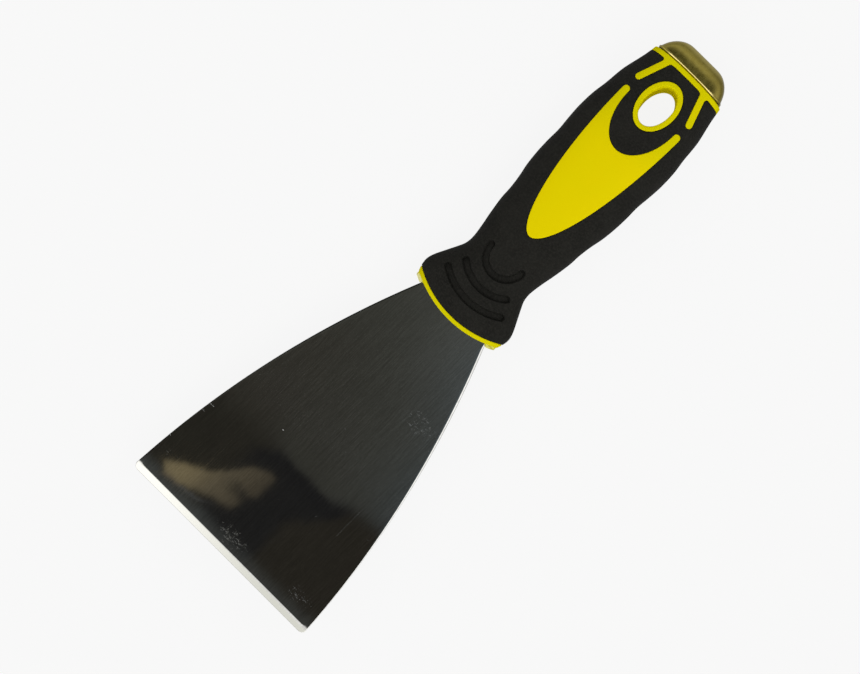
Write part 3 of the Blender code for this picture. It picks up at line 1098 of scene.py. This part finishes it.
def scuff_marks(s, place, x, y):
    """Short rubs in the scuffed patches, scattered specks, and nicks."""
    worn = 0
    for at, reach, strength in SCUFFS:
        worn = s.largest(worn, s.times(patch(s, x, y, at, reach), strength))
    worn = s.add(worn, s.ease(y, 4, 20, 0.15, 0))
    rubs = s.noise(s.stretched(place, 0.95, 2.1, 1), 1, 4, 0.7)
    rubs = s.ease(s.subtract(rubs, s.subtract(0.735, s.times(worn, 0.205))), 0, 0.1)
    specks = s.fall(s.cells(place, 0.3), 0.03, 0.06)
    specks = s.times(specks, s.ease(s.noise(place, 0.11, 1), 0.5, 0.6, 0, 0.4))
    marks = s.largest(s.times(rubs, 0.36), specks)
    for at, half_length, strength in NICKS:
        nick = s.times(s.band(x, at[0], half_length, 0.4), s.band(y, at[1], 0.05, 0.12), strength)
        marks = s.largest(marks, nick)
    return marks


def plastic_finish():
    """Yellow plastic, a little redder on the panel, with painted light in the bore, and a paler
    mottled flash with painted light towards -X.
    """
    s = Shader(bpy.data.materials.new("yellow plastic"))
    x, y, z, place = s.millimetres()
    side = s.math("ABSOLUTE", x)
    height = s.math("ABSOLUTE", z)
    panel = s.ease(y, COLLAR_Y + 3, COLLAR_Y + 30)
    panel = s.times(panel, s.fall(y, REAR_Y - 36, REAR_Y - 20))
    tone = s.mix(panel, (0.605, 0.54, 0), (0.705, 0.572, 0))
    cloud = s.noise(place, 0.12, 3)
    tone = s.mix(s.ease(cloud, 0.35, 0.7, 0, 0.3), tone, (0.68, 0.58, 0))
    # Painted light: the wall of the hanging ring's bore is made lighter, standing in for light
    # falling into it.
    across = s.band(x, 0, RING_BORE[0] + 0.2, 0.2)
    along = s.band(y, RING_Y, RING_BORE[1] + 0.2, 0.2)
    in_bore = s.times(across, along, s.fall(height, 9.8, 10.8))
    tone = s.mix(in_bore, tone, (0.78, 0.7, 0))
    at_collar = s.fall(y, COLLAR_Y + 3.2, COLLAR_Y + 4.2)
    at_flash = s.times(s.ease(side, 13.4, 15), s.fall(height, 1.8, 3.2), at_collar)
    # The flash's own paler, mottled tone, with painted light making it paler still towards -X.
    flash_tone_and_side_light = s.mix(s.ease(s.noise(place, 1.1, 2), 0.4, 0.6), (0.4, 0.37, 0.06), (0.66, 0.63, 0.22))
    flash_tone_and_side_light = s.mix(s.ease(x, -14, 14, 0.5, 0), flash_tone_and_side_light, (0.9, 0.88, 0.62))
    tone = s.mix(s.times(at_flash, 0.8), tone, flash_tone_and_side_light)
    grain = s.noise(place, 2.2, 3)
    fine = s.noise(place, 9, 2)
    roughness = s.ease(grain, 0.3, 0.7, 0.5, 0.62)
    facing = s.node("LayerWeight", 0.5).outputs["Facing"]
    specular = s.ease(facing, 0.1, 0.6, 0.012, 0)
    normal = s.bump(s.add(s.times(grain, 0.7), s.times(fine, 0.3)), 0.005)
    return s.surface(tone, roughness, 0, specular, normal)


def rubber_finish():
    """Matt black rubber with fine grain, painted shade in the grooves and a few specks of dust."""
    s = Shader(bpy.data.materials.new("black rubber"))
    place = s.millimetres()[3]
    cloud = s.noise(place, 0.15, 3)
    grain = s.noise(place, 3.2, 4, 0.65)
    pits = s.ease(s.cells(place, 1.9), 0.05, 0.5)
    tone = s.mix(s.ease(cloud, 0.3, 0.7), (0.0068, 0.0066, 0.0052), (0.0098, 0.0095, 0.0077))
    speckle = s.noise(place, 1.5, 3, 0.7)
    tone = s.mix(s.ease(speckle, 0.4, 0.66, 0, 0.55), tone, (0.0185, 0.0174, 0.0145))
    # Painted shade: occluded parts of the grooves are darkened and lose most of their shine.
    recess = s.node("AmbientOcclusion", samples=8, only_local=True)
    recess.inputs["Distance"].default_value = 1.6 * MM
    groove_shade = s.ease(recess.outputs["AO"], 0.5, 0.95, 0.35, 1)
    tone = s.mix(groove_shade, (0.002, 0.002, 0.0017), tone)
    dust = s.fall(s.cells(place, 0.23), 0.016, 0.03)
    dust = s.times(dust, s.ease(s.noise(place, 0.08, 1), 0.45, 0.55))
    tone = s.mix(s.times(dust, 0.45), tone, (0.12, 0.09, 0.06))
    roughness = s.ease(grain, 0.3, 0.7, 0.74, 0.9)
    normal = s.bump(s.add(s.times(grain, 0.5), s.times(pits, 0.5)), 0.05)
    return s.surface(tone, roughness, 0, s.times(groove_shade, 0.13), normal)


def brass_finish():
    """Mottled brass plating, with painted shade towards +X and painted highlights at the lip and
    near the striking end.
    """
    s = Shader(bpy.data.materials.new("brass plate"))
    x, y, _, place = s.millimetres()
    mottle = s.noise(place, 0.7, 4, 0.6)
    stain = s.noise(place, 0.2, 3)
    tone = s.mix(s.ease(mottle, 0.35, 0.65), (0.265, 0.213, 0.045), (0.3, 0.247, 0.058))
    tone = s.mix(s.ease(stain, 0.55, 0.8, 0, 0.2), tone, (0.17, 0.135, 0.03))
    # Painted shade: darker towards +X.
    tone = s.mix(s.ease(x, 2, 10, 0, 0.55), tone, (0.13, 0.105, 0.025))
    # Painted highlight: lighter where the faces turn over to the striking end.
    end_y = CAP_BOX[1][1]
    tone = s.mix(s.ease(y, end_y - 2.2, end_y - 0.9, 0, 0.35), tone, (0.52, 0.44, 0.15))
    # Painted highlight: a pale gold line along the rolled lip, on the cap's flat faces.
    lip = s.fall(y, REAR_Y + 0.65, REAR_Y + 0.9)
    lip = s.times(lip, s.fall(s.math("ABSOLUTE", x), 8.5, 10.5))
    tone = s.mix(lip, tone, (0.9, 0.74, 0.3))
    roughness = s.ease(mottle, 0.3, 0.7, 0.26, 0.33)
    grain = s.noise(place, 6, 3)
    normal = s.bump(s.add(s.times(mottle, 0.7), s.times(grain, 0.3)), 0.012)
    return s.surface(tone, roughness, 1, 0.5, normal)


# Stage, light and camera

STAND_OFF = 1080.0
CAMERA_PLACE = (40.8, COLLAR_Y - 8.3, STAND_OFF)
CAMERA_AIM = (0, COLLAR_Y - 8.1, 0)
CAMERA_RIGHT = (0.7085, 0.7057, 0)
CAMERA_LENS = 142

# Brightness of what lies behind the tool, of the floor, and of the floor's light on the tool, and
# the floor's half width in metres
PALE = 0.931
FLOOR_PALE = 0.955 * PALE
FLOOR_GLOW = 0.6
FLOOR_REACH = 6


def make_floor():
    """A pale floor that glows softly and can't be seen from below."""
    mesh = bpy.data.meshes.new("floor")
    low = cad_bounds[0].z
    sides = ((-1, -1), (1, -1), (1, 1), (-1, 1))
    corners = [(FLOOR_REACH * x, FLOOR_REACH * y, low) for x, y in sides]
    mesh.from_pydata(corners, [], [(0, 1, 2, 3)])
    floor = placed("floor", mesh)
    s = Shader(bpy.data.materials.new("pale floor"))
    seen = s.node("LightPath").outputs["Is Camera Ray"]
    strength = s.node("MapRange", seen, 0, 1, FLOOR_GLOW, FLOOR_PALE).outputs[0]
    glow = s.node("Emission", (1, 1, 1), strength)
    matte = s.node("BsdfDiffuse", (0.05, 0.05, 0.05))
    both = s.node("AddShader", glow.outputs[0], matte.outputs[0])
    clear = s.node("BsdfTransparent")
    back = s.node("NewGeometry").outputs["Backfacing"]
    shown = s.node("MixShader", back, both.outputs[0], clear.outputs[0])
    s.node("OutputMaterial", shown.outputs[0])
    mesh.materials.append(s.owner)


def room_far(s, x, y):
    """Grey light over the upper blade, browner towards -X and bluer towards +X."""
    lower = s.mix(s.ease(x, 4, 22), (0.058, 0.058, 0.049), (0.075, 0.078, 0.069))
    lower = s.mix(s.ease(x, 22, 34), lower, (0.076, 0.092, 0.101))
    lower = s.mix(s.fall(x, -24, -4), lower, (0.053, 0.05, 0.041))
    upper = s.mix(s.ease(x, -9, 10), (0.071, 0.073, 0.062), (0.116, 0.123, 0.114))
    upper = s.mix(s.ease(x, 9, 20), upper, (0.108, 0.129, 0.14))
    return s.mix(s.ease(y, 70, 104), lower, upper)


def room_near(s, x, y):
    """The dark over the lower blade, with brown at both sides of it."""
    brown = (0.0325, 0.0295, 0.0235)
    past = s.subtract(y, s.ease(x, 8, 32, 21, 45))
    east = s.times(s.ease(x, 7, 11.5), s.fall(past, -1, 4))
    tone = s.mix(east, (0.021, 0.021, 0.021), brown)
    darker = s.mix(east, (0.0185, 0.0185, 0.019), brown)
    tone = s.mix(s.ease(y, 28, 35), tone, darker)
    past = s.subtract(y, s.ease(x, -22, -5, 21, 31))
    west = s.times(s.ease(past, 4, 9), s.fall(x, -10, -4))
    west = s.largest(west, s.fall(x, -19, -11))
    return s.mix(west, tone, (0.0315, 0.0295, 0.0235))


def with_warm_shape(s, x, y, room):
    """The room with a soft warm shape that widens to two lobes."""
    right = s.add(s.ease(x, -36, -20, 8.6, 16.4), s.ease(x, -22, -6, 0, 14.2))
    left = s.add(s.ease(x, -29, -5, 4.9, 10.4), s.ease(x, -34, -28, 2.5, 0))
    left = s.add(left, s.ease(x, -6.5, -3.5, 0, 8.5))
    shape = s.ease(s.subtract(y, left), -0.1, s.ease(x, -30, -8, 1.3, 3.6))
    shape = s.times(shape, s.ease(s.subtract(right, y), 0, 2.6), s.ease(x, -36, -32))
    notch = s.times(s.band(y, 17.8, 0.5, 3), s.ease(x, -18, -4, 0, 0.75))
    shape = s.times(shape, s.fall(x, -4, -1.6), s.subtract(1, notch))
    tone = s.mix(s.ease(x, -27, -14), (0.275, 0.225, 0.128), (0.142, 0.12, 0.08))
    tone = s.mix(s.ease(x, -16, -3), tone, (0.082, 0.07, 0.05))
    return s.mix(shape, room, tone)


def with_glint(s, x, y, room):
    """The room with a thin curved light beside the warm shape."""
    curve = s.add(s.times(s.math("POWER", s.add(x, 29), 2), 0.0102), 5.5)
    glint = s.times(s.band(y, curve, 0.12, 0.5), s.ease(x, -31, -28.5), s.fall(x, -20, -9))
    tone = s.mix(s.ease(x, -26, -21), (0.2, 0.155, 0.1), (0.12, 0.125, 0.13))
    return s.mix(glint, room, tone)


def overhead_room(s, east, north):
    """What hangs over the blade, laid out in millimetres by where the flat blade mirrors it."""
    tilt = 2 * (BLADE_BOX[1][2] - GROUND_HALF) / (SHOULDER_Y - GROUND_WIDTH) * STAND_OFF
    x = s.add(s.times(east, STAND_OFF), CAMERA_PLACE[0])
    y = s.add(s.times(north, STAND_OFF), CAMERA_PLACE[1] + tilt)
    place = s.node("CombineXYZ", x, y, 0).outputs[0]
    sway = s.subtract(s.noise(place, 0.16, 3), 0.5)
    x = s.add(x, s.times(sway, 4))
    sway = s.subtract(s.noise(s.stretched(place, 1.3, 0.8, 1), 0.16, 3), 0.5)
    y = s.add(y, s.times(sway, 4))

    border = s.ease(x, 11, 28, 36.4, 42)
    softness = s.add(s.ease(x, 10, 20, 1.2, 4), s.ease(x, -15, -3, 9, 0))
    share = s.math("DIVIDE", s.subtract(y, border), softness)
    room = s.mix(s.ease(share, -0.6, 0.9), room_near(s, x, y), room_far(s, x, y))
    room = with_warm_shape(s, x, y, room)
    room = with_glint(s, x, y, room)
    rim = s.times(s.fall(y, 2, 7.8), s.ease(x, -14, 4, 0.95, 0.6))
    return s.mix(rim, room, (0.085, 0.092, 0.089))


def make_world():
    """A studio: dim right overhead, where the blade looks, and bright all round."""
    world = bpy.data.worlds.new("studio")
    bpy.context.scene.world = world
    s = Shader(world)
    way = s.node("SeparateXYZ", s.node("TexCoord").outputs["Generated"]).outputs
    height = s.largest(way[2], 0.001)
    east = s.math("DIVIDE", way[0], height)
    north = s.math("DIVIDE", way[1], height)

    south_side = s.ease(north, -0.2, -0.12)
    east_side = s.fall(east, 0.18, 0.3)
    west_side = s.ease(east, -8, -3)
    north_side = s.fall(north, 0.3, 1.1)
    up = s.ease(way[2], 0, 0.1)
    dim = s.times(south_side, east_side, west_side, north_side, up)

    slope = s.add(s.times(way[1], -0.34), s.times(way[0], 0.02))
    softbox = s.times(s.ease(east, 0.2, 0.3), s.fall(east, 0.8, 1.3), 0.85)
    softbox = s.times(softbox, s.ease(north, -0.2, 0.6, 1, 0.3))
    strength = s.add(1.18, slope, softbox)
    strength = s.times(strength, s.ease(way[2], 0.05, 0.62, 0.5, 1))
    around = s.node("VectorMath", (1, 1, 0.985), strength, operation="MULTIPLY").outputs[0]
    room = s.mix(dim, around, overhead_room(s, east, north))
    seen = s.node("LightPath").outputs["Is Camera Ray"]
    color = s.mix(seen, room, (PALE, PALE, PALE))
    s.node("OutputWorld", s.node("Background", color, 1).outputs[0])


def make_camera():
    place = Vector(CAMERA_PLACE)
    back = (place - Vector(CAMERA_AIM)).normalized()
    up = back.cross(Vector(CAMERA_RIGHT)).normalized()
    right = up.cross(back)
    data = bpy.data.cameras.new("camera")
    data.sensor_width = 36
    data.lens = CAMERA_LENS
    data.clip_start = 0.05
    data.clip_end = 20
    camera = placed("camera", data)
    turn = Matrix((right, up, back)).transposed().to_4x4()
    camera.matrix_world = Matrix.Translation(place * MM) @ turn
    bpy.context.scene.camera = camera


def main():
    blade = make_blade()
    core = make_core()
    cut(core, make_pocket())
    grip = make_grip()
    cap = make_cap()
    finish(blade, "blade", steel_finish(), 60)
    finish(core, "handle_core", plastic_finish())
    finish(grip, "soft_grip", rubber_finish())
    finish(cap, "end_cap", brass_finish())
    make_floor()
    make_world()
    make_camera()
    bpy.context.scene.view_settings.view_transform = "Standard"


main()
